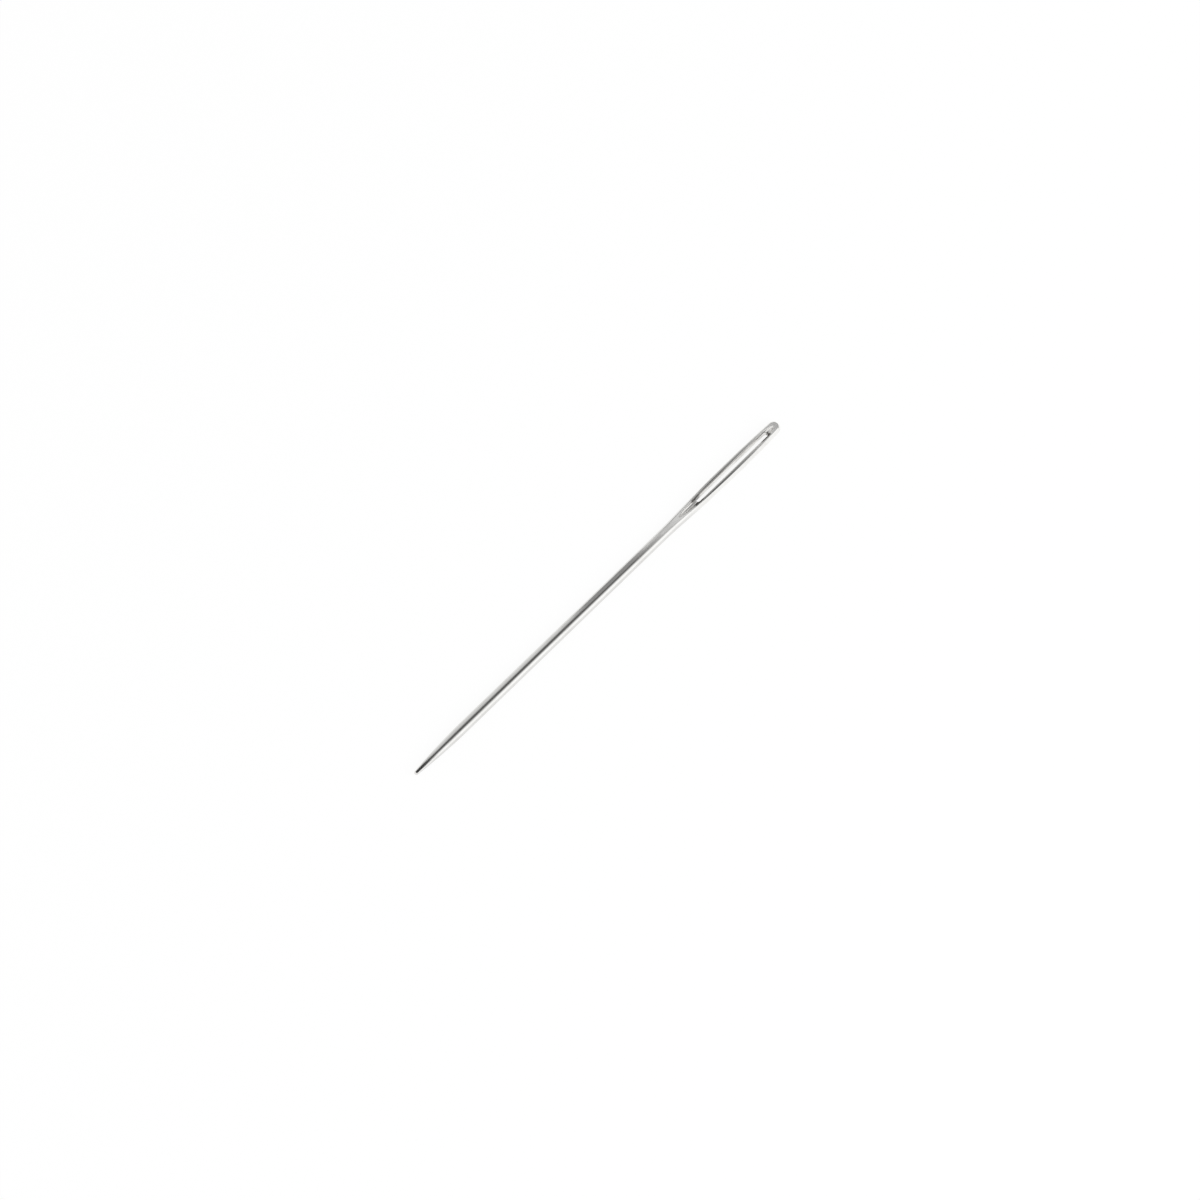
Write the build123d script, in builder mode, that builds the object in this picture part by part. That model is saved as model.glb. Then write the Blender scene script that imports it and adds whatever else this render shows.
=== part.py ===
from build123d import *
import os
from math import hypot, sqrt

# A yarn needle: one straight piece of steel wire with a blunt point and a long slotted eye.
# Sizes are in millimetres. The needle lies along X, its point towards -X and its eye level,
# and the shank rests on Z = 0 with the middle of the needle's length at X = 0.

# Driving dimensions of the wire and its point
needle_length = 70.0
shank_diameter = 1.5
point_length = 9.5
tip_radius = 0.3

# Driving dimensions of the pressed eye. Each face is pressed in by press_depth, the eye's width
# is that of its two rails and the slot between them, and its head is rounded on a radius that is
# less than half its width by head_shoulder
eye_width = 2.2
rail_width = 0.75
press_depth = 0.025
press_radius = 30.0
neck_length = 7.0
eye_taper_length = 9.0
head_shoulder = 0.15

# Driving dimensions of the slot and its gutters, which are wider than the slot by a lip each side
slot_length = 13.8
slot_end_wall = 2.2
gutter_lip = 0.07

# How the swelling leaves the shank and comes up to the eye's full width
swell_leave_share = 0.3
swell_arrive_share = 0.45

# How deep a gutter is for its width, and how much of the steel past each slot end it takes up
gutter_depth_share = 0.38
neck_gutter_share = 0.59
head_gutter_share = 0.59

# Rounding of the flats' outline, the gutters' rims and the punched slot
edge_round = 0.14
gutter_round = 0.05
slot_round = 0.06

# How far each cut runs past the steel
overrun = 0.5

# Places along the needle
tip_x = -needle_length / 2
head_x = needle_length / 2
shank_start_x = tip_x + point_length
eye_widest_x = head_x - eye_taper_length
slot_head_x = head_x - slot_end_wall
slot_neck_x = slot_head_x - slot_length
neck_start_x = slot_neck_x - neck_length
swell_length = eye_widest_x - neck_start_x

# Half sizes across the needle, and the height of its axis
shank_radius = shank_diameter / 2
eye_half_width = eye_width / 2
eye_half_thickness = shank_radius - press_depth
head_radius = eye_half_width - head_shoulder
axis_height = shank_radius

# The press leaves the wire on a large round, which meets the wire's surface where the neck starts
flat_start_x = neck_start_x + sqrt(press_radius**2 - (press_radius - press_depth) ** 2)
press_rise = press_depth + overrun
press_reach = sqrt(press_radius**2 - (press_radius - press_rise) ** 2)

# The slot between the rails, and the gutters over it
slot_width = eye_width - 2 * rail_width
gutter_width = slot_width + 2 * gutter_lip
gutter_depth = gutter_depth_share * gutter_width
neck_gutter_length = neck_gutter_share * (slot_neck_x - flat_start_x)
head_gutter_length = head_gutter_share * slot_end_wall

needle_axis = Axis((0, 0, axis_height), (1, 0, 0))
side_plane = Plane(origin=(0, 0, axis_height), x_dir=(1, 0, 0), z_dir=(0, -1, 0))
eye_plane = Plane.XY.offset(axis_height)


def nose_meet(length, radius, nose):
    """Distance from the end, and radius, where a round nose turns into the long curve behind it.

    The long curve is one arc that leaves the body level, length back from the end.
    """
    curve = ((length - nose) ** 2 + radius**2 - nose**2) / (2 * (radius - nose))
    reach = hypot(length - nose, curve - radius)
    along = length - curve * (length - nose) / reach
    out = curve * (curve - radius) / reach - (curve - radius)
    return along, out


# Where the blunt tip meets the ground taper, and the head's round end meets the eye's sides
tip_along, tip_out = nose_meet(point_length, shank_radius, tip_radius)
head_along, head_out = nose_meet(eye_taper_length, eye_half_width, head_radius)

# The gutter is a round-bottomed groove, so its wheel's centre stands above the face
gutter_radius = (gutter_width**2 / 4 + gutter_depth**2) / (2 * gutter_depth)
gutter_rise = gutter_radius - gutter_depth
gutter_drop = gutter_depth + gutter_rise / 2


def runout(length):
    """How far past the slot a gutter's arc reaches when it has dropped by gutter_drop."""
    arc = (length**2 + gutter_depth**2) / (2 * gutter_depth)
    return sqrt(arc**2 - (arc - gutter_drop) ** 2)


with BuildPart() as needle:
    # The turned form: ground point, parallel shank, neck swelling into the eye, round head
    with BuildSketch(side_plane):
        with BuildLine():
            Line((tip_x, 0), (head_x, 0))
            TangentArc((tip_x, 0), (tip_x + tip_along, tip_out), tangent=(0, 1))
            TangentArc(
                (shank_start_x, shank_radius), (tip_x + tip_along, tip_out), tangent=(-1, 0)
            )
            Line((shank_start_x, shank_radius), (neck_start_x, shank_radius))
            Bezier(
                (neck_start_x, shank_radius),
                (neck_start_x + swell_leave_share * swell_length, shank_radius),
                (neck_start_x + swell_arrive_share * swell_length, eye_half_width),
                (eye_widest_x, eye_half_width),
            )
            TangentArc((eye_widest_x, eye_half_width), (head_x - head_along, head_out), tangent=(1, 0))
            TangentArc((head_x, 0), (head_x - head_along, head_out), tangent=(0, 1))
        make_face()
    revolve(axis=needle_axis)

    # The two flats of the eye, pressed into the round form from above and below
    with BuildSketch(side_plane):
        with BuildLine():
            TangentArc(
                (flat_start_x, eye_half_thickness),
                (flat_start_x - press_reach, eye_half_thickness + press_rise),
                tangent=(-1, 0),
            )
            Polyline(
                (flat_start_x - press_reach, eye_half_thickness + press_rise),
                (flat_start_x - press_reach, eye_width),
                (head_x + overrun, eye_width),
                (head_x + overrun, eye_half_thickness),
                (flat_start_x, eye_half_thickness),
            )
        make_face()
        mirror(about=Plane.XZ)
    extrude(amount=eye_width, both=True, mode=Mode.SUBTRACT)
    fillet(needle.faces().filter_by(Axis.Z).edges(), radius=edge_round)

    # A gutter along each face, running out past both ends of the slot
    for side in (1, -1):
        gutter_line = Plane(
            origin=(0, 0, axis_height + side * (eye_half_thickness + gutter_rise)),
            x_dir=(1, 0, 0),
            z_dir=(0, -1, 0),
        )
        with BuildSketch(gutter_line):
            with BuildLine():
                neck_end = slot_neck_x - runout(neck_gutter_length)
                head_end = slot_head_x + runout(head_gutter_length)
                end_radius = gutter_radius - gutter_drop
                TangentArc((slot_neck_x, gutter_radius), (neck_end, end_radius), tangent=(-1, 0))
                Line((slot_neck_x, gutter_radius), (slot_head_x, gutter_radius))
                TangentArc((slot_head_x, gutter_radius), (head_end, end_radius), tangent=(1, 0))
                Polyline(
                    (head_end, end_radius), (head_end, 0), (neck_end, 0), (neck_end, end_radius)
                )
            make_face()
        revolve(axis=Axis(gutter_line.origin, (1, 0, 0)), mode=Mode.SUBTRACT)
    gutter_rims = [face.inner_wires() for face in needle.faces().filter_by(Axis.Z)]
    fillet([edge for rims in gutter_rims for edge in rims.edges()], radius=gutter_round)

    # The slot itself, punched through what the gutters left
    with BuildSketch(eye_plane):
        with Locations(((slot_neck_x + slot_head_x) / 2, 0)):
            SlotOverall(slot_length, slot_width)
    extrude(amount=eye_width, both=True, mode=Mode.SUBTRACT)
    fillet(needle.edges(Select.LAST).filter_by(Axis.Z, reverse=True), radius=slot_round)

needle.part.label = "needle"

os.makedirs("parts", exist_ok=True)
export_step(needle.part, "parts/needle.step")
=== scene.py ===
"""Looks of a steel yarn needle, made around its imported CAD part.

The needle is one piece of nickel-plated wire. Here its blank is turned, the eye is pressed flat
and gets a gutter on each face, the slot is punched through, and the whole is polished.
Sizes of the needle are in millimetres, as its maker would state them, and the finished mesh is
scaled to metres. The needle lies along X, its point towards -X, and rests on Z = 0.
"""

import logging
import math
from dataclasses import dataclass, field
from enum import Enum
from typing import Sequence

import bmesh
import bpy
from bmesh.types import BMEdge, BMesh, BMFace, BMVert
from bpy.types import ID, Material, Node, NodeOutputs, NodeSocket, NodeTree, Object
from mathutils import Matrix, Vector


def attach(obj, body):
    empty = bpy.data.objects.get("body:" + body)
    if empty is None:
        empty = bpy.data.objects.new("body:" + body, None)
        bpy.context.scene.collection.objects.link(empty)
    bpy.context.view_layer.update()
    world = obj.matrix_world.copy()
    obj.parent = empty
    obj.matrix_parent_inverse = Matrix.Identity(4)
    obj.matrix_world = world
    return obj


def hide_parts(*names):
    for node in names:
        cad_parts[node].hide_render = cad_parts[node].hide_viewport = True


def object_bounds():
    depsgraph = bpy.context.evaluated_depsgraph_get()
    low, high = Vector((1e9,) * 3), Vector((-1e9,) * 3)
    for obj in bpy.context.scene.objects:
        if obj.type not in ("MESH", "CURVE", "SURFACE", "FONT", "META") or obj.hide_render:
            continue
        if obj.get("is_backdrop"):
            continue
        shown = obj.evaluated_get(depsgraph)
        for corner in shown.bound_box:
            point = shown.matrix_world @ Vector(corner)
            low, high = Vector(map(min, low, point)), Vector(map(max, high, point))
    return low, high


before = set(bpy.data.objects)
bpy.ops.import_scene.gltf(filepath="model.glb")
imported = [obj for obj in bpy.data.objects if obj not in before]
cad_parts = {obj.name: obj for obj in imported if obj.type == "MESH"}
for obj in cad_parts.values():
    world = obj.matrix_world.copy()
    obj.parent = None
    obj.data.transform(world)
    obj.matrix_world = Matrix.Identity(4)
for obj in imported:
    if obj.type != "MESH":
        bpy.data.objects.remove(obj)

LOG = logging.getLogger("needle")
MM = 0.001
TINY = 1e-9  # keeps a division or a comparison safe
SAME = 1e-6  # places nearer than this are one
DIGITS = 4  # decimals that tell two vertices apart
CURVE_ROUNDS = 6  # rounds in which a place on the swelling's curve is found
LEAST_PACE = 0.05  # keeps those rounds from overshooting
LEAST_LEVEL = 0.2  # least cosine given to the slope of a gutter's run-out

Colour = tuple[float, float, float]
Place = tuple[float, float, float]
Span = tuple[float, float]


def mix(start: float, stop: float, share: float) -> float:
    """Return the value that lies a share of the way from start to stop."""
    return start + (stop - start) * share


def smooth_share(value: float, start: float, stop: float) -> float:
    """Return how far value has come from start to stop, from 0 to 1 and eased at both ends."""
    share = min(1.0, max(0.0, (value - start) / (stop - start)))
    return share * share * (3.0 - 2.0 * share)


def meet(first: float, second: float, radius: float, cosine: float) -> float:
    """Return how far outside two surfaces a point lies, with their meeting rounded off.

    Args:
        first: Distance outside the first surface, below zero inside it.
        second: Distance outside the second surface.
        radius: Radius of the rounding.
        cosine: Cosine of the angle that the two surfaces turn through where they meet.

    Returns:
        Distance outside what lies inside both.
    """
    half = math.sqrt((1.0 + min(1.0, max(0.0, cosine))) / 2)
    soft = radius * (1.0 - half) / (1.0 - math.sqrt(0.5))
    over = math.hypot(max(0.0, first + soft), max(0.0, second + soft))
    return over + min(-soft, max(first, second))


def stand(name: str, data: ID) -> Object:
    """Put an object with the given data in the scene, and return it."""
    made = bpy.data.objects.new(name, data)
    bpy.context.scene.collection.objects.link(made)
    return made


def stand_mesh(name: str, bm: BMesh) -> Object:
    """Put a finished shape in the scene as an object, and free the shape.

    Args:
        name: Name of the object.
        bm: The finished shape.

    Returns:
        The object, at the origin.
    """
    mesh = bpy.data.meshes.new(name)
    bm.to_mesh(mesh)
    bm.free()
    return stand(name, mesh)


@dataclass(frozen=True)
class RoundEnd:
    """A round nose and the long arc that carries it into the body behind it.

    Attributes:
        length: Length of nose and arc together.
        body: Radius of the body that the arc runs into.
        nose: Radius of the round nose.
    """

    length: float
    body: float
    nose: float

    @property
    def arc(self) -> float:
        """Radius of the long arc."""
        run = self.length - self.nose
        return (run**2 + self.body**2 - self.nose**2) / (2 * (self.body - self.nose))

    @property
    def meet(self) -> float:
        """Distance back from the end at which the nose turns into the arc."""
        run = self.length - self.nose
        return self.length - self.arc * run / math.hypot(run, self.arc - self.body)

    def radius(self, back: float) -> float:
        """Return the radius at a distance back from the end."""
        if back < self.meet:
            return math.sqrt(max(0.0, self.nose**2 - (self.nose - back) ** 2))
        return self.body - self.arc + math.sqrt(self.arc**2 - (self.length - back) ** 2)

    def nose_places(self, steps: int) -> list[float]:
        """Return distances back from the end that go round the nose in even turns."""
        sweep = math.acos(1.0 - self.meet / self.nose)
        return [self.nose * (1.0 - math.cos(sweep * k / steps)) for k in range(steps)]


@dataclass(frozen=True)
class TurnedBlank:
    """The round form that the wire is turned to before the eye is pressed.

    Attributes:
        length: Length of the needle.
        shank_radius: Radius of the plain wire.
        point: The ground point.
        head: The round end of the eye.
        neck_start: Place along X where the wire starts to swell.
        widest: Place along X where the eye is widest.
        leave_share: Share of the swelling that its curve leaves the wire along.
        arrive_share: Share of the swelling at which its curve has come up to full width.
    """

    length: float = 70.0
    shank_radius: float = 0.75
    point: RoundEnd = RoundEnd(length=9.5, body=0.75, nose=0.3)
    head: RoundEnd = RoundEnd(length=9.0, body=1.1, nose=0.95)
    neck_start: float = 12.0
    widest: float = 26.0
    leave_share: float = 0.3
    arrive_share: float = 0.45

    @property
    def tip(self) -> float:
        """Place of the point's end along X."""
        return -self.length / 2

    @property
    def end(self) -> float:
        """Place of the head's end along X."""
        return self.length / 2

    def _swelling(self, place: float) -> float:
        """Follow the swelling, a cubic curve from the wire to the eye's full width.

        Args:
            place: Place along X.

        Returns:
            The radius there.
        """
        share = (place - self.neck_start) / (self.widest - self.neck_start)
        leave, arrive = self.leave_share, self.arrive_share
        turn = share
        for _ in range(CURVE_ROUNDS):
            back = 1.0 - turn
            along = 3 * back * back * turn * leave + 3 * back * turn * turn * arrive + turn**3
            pace = 3 * back * back * leave + 6 * back * turn * (arrive - leave)
            pace += 3 * turn * turn * (1.0 - arrive)
            turn = min(1.0, max(0.0, turn - (along - share) / max(pace, LEAST_PACE)))
        return mix(self.shank_radius, self.head.body, (3.0 - 2.0 * turn) * turn * turn)

    def radius(self, place: float) -> float:
        """Follow the blank's outline.

        Args:
            place: Place along X.

        Returns:
            The radius there.
        """
        if place < self.tip + self.point.length:
            return self.point.radius(max(0.0, place - self.tip))
        if place <= self.neck_start:
            return self.shank_radius
        if place < self.widest:
            return self._swelling(place)
        return self.head.radius(max(0.0, self.end - place))

    def depth(self, place: float, reach: float) -> tuple[float, float]:
        """Return how far outside the blank's swollen end a point lies, and how level it is there.

        Args:
            place: Place along X.
            reach: Distance from the needle's axis.

        Returns:
            The distance, and the cosine of the surface's slope along X.
        """
        middle = self.end - self.head.nose
        if place > self.end - self.head.meet:
            away = math.hypot(place - middle, reach)
            return away - self.head.nose, reach / away
        step = 0.001
        slope = (self.radius(place + step) - self.radius(place - step)) / (2 * step)
        level = 1.0 / math.hypot(1.0, slope)
        return (reach - self.radius(place)) * level, level


@dataclass(frozen=True)
class Section:
    """A quarter of the pressed cross-section, from the middle of a face round to the side.

    The round form and the press's face meet in a rounded corner that is tangent to both.

    Attributes:
        radius: Radius of the round form.
        face: Height of the pressed face above the needle's axis.
        corner: Radius of the rounded corner between the two.
    """

    radius: float
    face: float
    corner: float

    @property
    def is_round(self) -> bool:
        """Whether the press doesn't reach this section."""
        return self.radius <= self.face + TINY or self.radius <= self.corner

    @property
    def flat(self) -> float:
        """Half width of the flat."""
        if self.is_round:
            return 0.0
        inner, level = self.radius - self.corner, self.face - self.corner
        return math.sqrt(inner**2 - level**2)

    @property
    def turn(self) -> float:
        """Angle that the rounded corner turns through."""
        if self.is_round:
            return 0.0
        return math.acos((self.face - self.corner) / (self.radius - self.corner))

    @property
    def length(self) -> float:
        """Length of the quarter outline."""
        side = math.pi / 2 - self.turn
        return self.flat + self.corner * self.turn + self.radius * side

    def point(self, run: float) -> tuple[float, float]:
        """Return the outline's distance from the middle and height, after a run along it.

        Args:
            run: Length along the outline from the middle of the face.

        Returns:
            The distance from the needle's middle plane, and the height above its axis.
        """
        if run < self.flat:
            return run, self.face
        bend = (run - self.flat) / self.corner
        if bend < self.turn:
            out = self.flat + self.corner * math.sin(bend)
            return out, self.face - self.corner * (1.0 - math.cos(bend))
        angle = self.turn + (run - self.flat - self.corner * self.turn) / self.radius
        return self.radius * math.sin(angle), self.radius * math.cos(angle)


@dataclass(frozen=True)
class Press:
    """The press that flattens the eye from above and below.

    Attributes:
        depth: How far each face is pressed into the wire.
        radius: Radius on which the press leaves the wire.
        corner: Radius of the rounding between a flat and the eye's side.
        crown: Radius on which the top of each rail is rounded, along it and at the slot's ends.
        reach: How far from a rail's crest that rounding fades.
        crest_in: How far from the gutter's rim a rail's crest lies at the slot's ends.
        crest_run: How far from the slot's ends the crests have come to the rails' middles.
    """

    depth: float = 0.025
    radius: float = 30.0
    corner: float = 0.14
    crown: tuple[float, float] = (0.85, 1.7)
    reach: float = 0.45
    crest_in: float = 0.03
    crest_run: float = 3.2

    def face(self, blank: TurnedBlank, place: float) -> float:
        """Follow the press's face, which leaves the wire on a large round.

        Args:
            blank: The turned form.
            place: Place along X.

        Returns:
            The height of the face above the needle's axis.
        """
        level = blank.shank_radius - self.depth
        run_up = math.sqrt(self.radius**2 - (self.radius - self.depth) ** 2)
        short = max(0.0, blank.neck_start + run_up - place)
        short = min(short, self.radius)
        return level + self.radius - math.sqrt(self.radius**2 - short**2)

    def section(self, blank: TurnedBlank, place: float) -> Section:
        """Return the pressed cross-section at a place along X."""
        return Section(blank.radius(place), self.face(blank, place), self.corner)


class SlotEnd(Enum):
    """The two ends of the slot, by the way that its wall looks along X."""

    NECK = -1
    HEAD = 1


@dataclass(frozen=True)
class Slot:
    """The punched slot and the gutter that runs along it on each face.

    Attributes:
        neck: Place of the slot's end towards the shank.
        head: Place of its end towards the head.
        radius: Half width of the slot, and radius of its ends.
        gutter: Half width of the gutter.
        gutter_depth: Depth of the gutter.
        gutter_round: Rounding of the gutter's rim.
        neck_run: How far the gutter runs on towards the shank.
        head_run: How far it runs on towards the head.
    """

    neck: float = 19.0
    head: float = 32.8
    radius: float = 0.35
    gutter: float = 0.42
    gutter_depth: float = 0.319
    gutter_round: float = 0.05
    neck_run: float = 3.41
    head_run: float = 1.3

    @property
    def gutter_radius(self) -> float:
        """Radius of the gutter's round bottom."""
        return (self.gutter**2 + self.gutter_depth**2) / (2 * self.gutter_depth)

    @property
    def rise(self) -> float:
        """Height of the gutter's centre line above the pressed face."""
        return self.gutter_radius - self.gutter_depth

    def place(self, end: SlotEnd) -> float:
        """Return the place of an end of the slot along X."""
        return self.neck if end is SlotEnd.NECK else self.head

    def past(self, place: float) -> tuple[float, SlotEnd]:
        """Return how far a place lies past the nearer end of the slot, and which end that is."""
        end = SlotEnd.NECK if place < (self.neck + self.head) / 2 else SlotEnd.HEAD
        return end.value * (place - self.place(end)), end

    def half_width(self, place: float) -> float:
        """Return the slot's half width at a place between its ends."""
        past, _ = self.past(place)
        return math.sqrt(self.radius**2 - max(0.0, self.radius + past) ** 2)

    def run(self, end: SlotEnd) -> float:
        """Return how far the gutter runs on past an end of the slot."""
        return self.neck_run if end is SlotEnd.NECK else self.head_run

    def _arc(self, end: SlotEnd) -> float:
        """Return the radius of the arc on which the gutter runs out."""
        run = self.run(end)
        return (run**2 + self.gutter_depth**2) / (2 * self.gutter_depth)

    def _bottom_radius(self, place: float) -> float:
        """Follow the gutter's bottom, which shrinks as it runs out.

        Args:
            place: Place along X.

        Returns:
            The radius of the bottom.
        """
        past, end = self.past(place)
        if past <= 0.0:
            return self.gutter_radius
        arc = self._arc(end)
        return self.gutter_radius - arc + math.sqrt(arc**2 - min(past, arc) ** 2)

    def rim(self, place: float) -> float:
        """Return the gutter's half width at its rim."""
        bottom = max(self.rise, self._bottom_radius(place))
        return math.sqrt(bottom**2 - self.rise**2)

    def depth(self, face: float, place: float, across: float, height: float) -> tuple[float, float]:
        """Return how far inside the gutter's groove a point lies, and the groove's slope there.

        Args:
            face: Height of the pressed face.
            place: Place along X.
            across: Distance from the needle's middle plane.
            height: Height above the needle's axis.

        Returns:
            The distance, and the cosine of the angle from the groove's side to the level face.
        """
        past, end = self.past(place)
        below = face + self.rise - height
        away = max(TINY, math.hypot(across, below))
        level = 1.0
        if past > 0.0:
            arc = self._arc(end)
            level = math.sqrt(max(LEAST_LEVEL**2, 1.0 - (past / arc) ** 2))
        return (self._bottom_radius(place) - away) * level, level * below / away

    def floor(self, face: float, place: float, across: float) -> float:
        """Return the height to which the gutter cuts down.

        Args:
            face: Height of the pressed face.
            place: Place along X.
            across: Distance from the needle's middle plane.

        Returns:
            The height of the gutter's floor, or the face where there is no gutter.
        """
        if across >= self.rim(place):
            return face
        bottom = self._bottom_radius(place)
        return face + self.rise - math.sqrt(bottom**2 - across**2)


@dataclass(frozen=True)
class Lattice:
    """How finely the needle's surface is divided, along it and round it.

    Attributes:
        quarter: Columns of faces in a quarter of the way round.
        slot_columns: Columns from the middle of the slot to its side.
        lip_columns: Columns from the middle of the slot to the gutter's rim.
        end_angle: Angle of the slot's round end that its columns take up, from the end's middle.
        side_angles: Angles of the round end at which the next rows meet the slot.
        bend_reach: How far past the slot the rows still bend with its round end.
        least_lip: Least half width of the columns that follow the gutter's rim.
        greatest_lip: Greatest, as a share of the quarter's outline.
        leave_rim: Share of a gutter's run-out after which the columns leave its rim.
        settle: How far past that the columns need to spread evenly again, at each end.
        tip_rows: Rows round the point's nose, and along its ground taper.
        tip_ease: How the taper's rows crowd towards the nose.
        shank_rows: Rows along the plain wire.
        neck_rows: Rows before, at and past the end of the gutter towards the shank.
        neck_fine: How far before and past that end the finest of them reach.
        outer_gaps: Distances of the last rows before the slot's end.
        inner_gaps: Distances of the first rows inside each end of the slot.
        slot_rows: Rows along the rest of the slot.
        head_gap: Distance of the first row past the slot's other end.
        head_rows: Rows up to and at the end of the gutter towards the head.
        head_fine: How far before and past that end the finest of them reach.
        nose_rows: Rows round the head's nose, of which those past the gutter's end count.
        close: How far past that end they start.
    """

    quarter: int = 24
    slot_columns: int = 5
    lip_columns: int = 7
    end_angle: float = math.radians(60.0)
    side_angles: tuple[float, float] = (math.radians(75.0), math.radians(90.0))
    bend_reach: float = 0.9
    least_lip: float = 0.09
    greatest_lip: float = 0.6
    leave_rim: float = 0.9
    settle: dict[SlotEnd, float] = field(
        default_factory=lambda: {SlotEnd.NECK: 4.5, SlotEnd.HEAD: 1.6}
    )
    tip_rows: tuple[int, int] = (10, 24)
    tip_ease: float = 1.4
    shank_rows: int = 28
    neck_rows: tuple[int, int, int] = (12, 14, 11)
    neck_fine: Span = (0.3, 0.6)
    outer_gaps: tuple[float, ...] = (1.12, 0.9, 0.68, 0.5, 0.36, 0.24, 0.14, 0.06)
    inner_gaps: tuple[float, ...] = (0.46, 0.62, 0.84, 1.12, 1.44, 1.8)
    slot_rows: int = 24
    head_gap: float = 0.055
    head_rows: tuple[int, int] = (15, 13)
    head_fine: Span = (0.2, 0.06)
    nose_rows: int = 22
    close: float = 0.05

    @property
    def around(self) -> int:
        """Columns of faces all the way round."""
        return 4 * self.quarter

    @property
    def step(self) -> float:
        """Angle between two columns of the round blank."""
        return 2 * math.pi / self.around

    @staticmethod
    def spread(start: float, stop: float, steps: int, ease: float = 1.0) -> list[float]:
        """Return places from start up to, but without, stop; ease over 1 crowds them at start."""
        return [mix(start, stop, (k / steps) ** ease) for k in range(steps)]

    def rows(self, blank: TurnedBlank, slot: Slot) -> list[float]:
        """Return the places along X of the needle's rows, from its point to its head.

        Args:
            blank: The turned form.
            slot: The slot, whose ends have rows of their own.

        Returns:
            Places in rising order.
        """
        point, head = blank.point, blank.head
        shank_start = blank.tip + point.length
        rows = [blank.tip + back for back in point.nose_places(self.tip_rows[0])]
        rows += self.spread(blank.tip + point.meet, shank_start, self.tip_rows[1], self.tip_ease)
        rows += self.spread(shank_start, blank.neck_start, self.shank_rows)

        end = slot.neck - slot.neck_run
        marks = [blank.neck_start, end - self.neck_fine[0], end + self.neck_fine[1]]
        marks.append(slot.neck - self.outer_gaps[0])
        for start, stop, steps in zip(marks, marks[1:], self.neck_rows):
            rows += self.spread(start, stop, steps)
        rows += [slot.neck - gap for gap in self.outer_gaps]

        inside = [slot.radius * (1.0 - math.cos(angle)) for angle in self.side_angles]
        inside += self.inner_gaps
        rows += [slot.neck, *(slot.neck + gap for gap in inside[:-1])]
        rows += self.spread(slot.neck + inside[-1], slot.head - inside[-1], self.slot_rows)
        rows += [*(slot.head - gap for gap in reversed(inside)), slot.head]

        end = slot.head + slot.head_run
        marks = [slot.head + self.head_gap, end - self.head_fine[0], end + self.head_fine[1]]
        for start, stop, steps in zip(marks, marks[1:], self.head_rows):
            rows += self.spread(start, stop, steps)
        nose = [blank.end - back for back in reversed(head.nose_places(self.nose_rows))]
        rows += [place for place in nose if place > end + self.close]
        return rows


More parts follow.
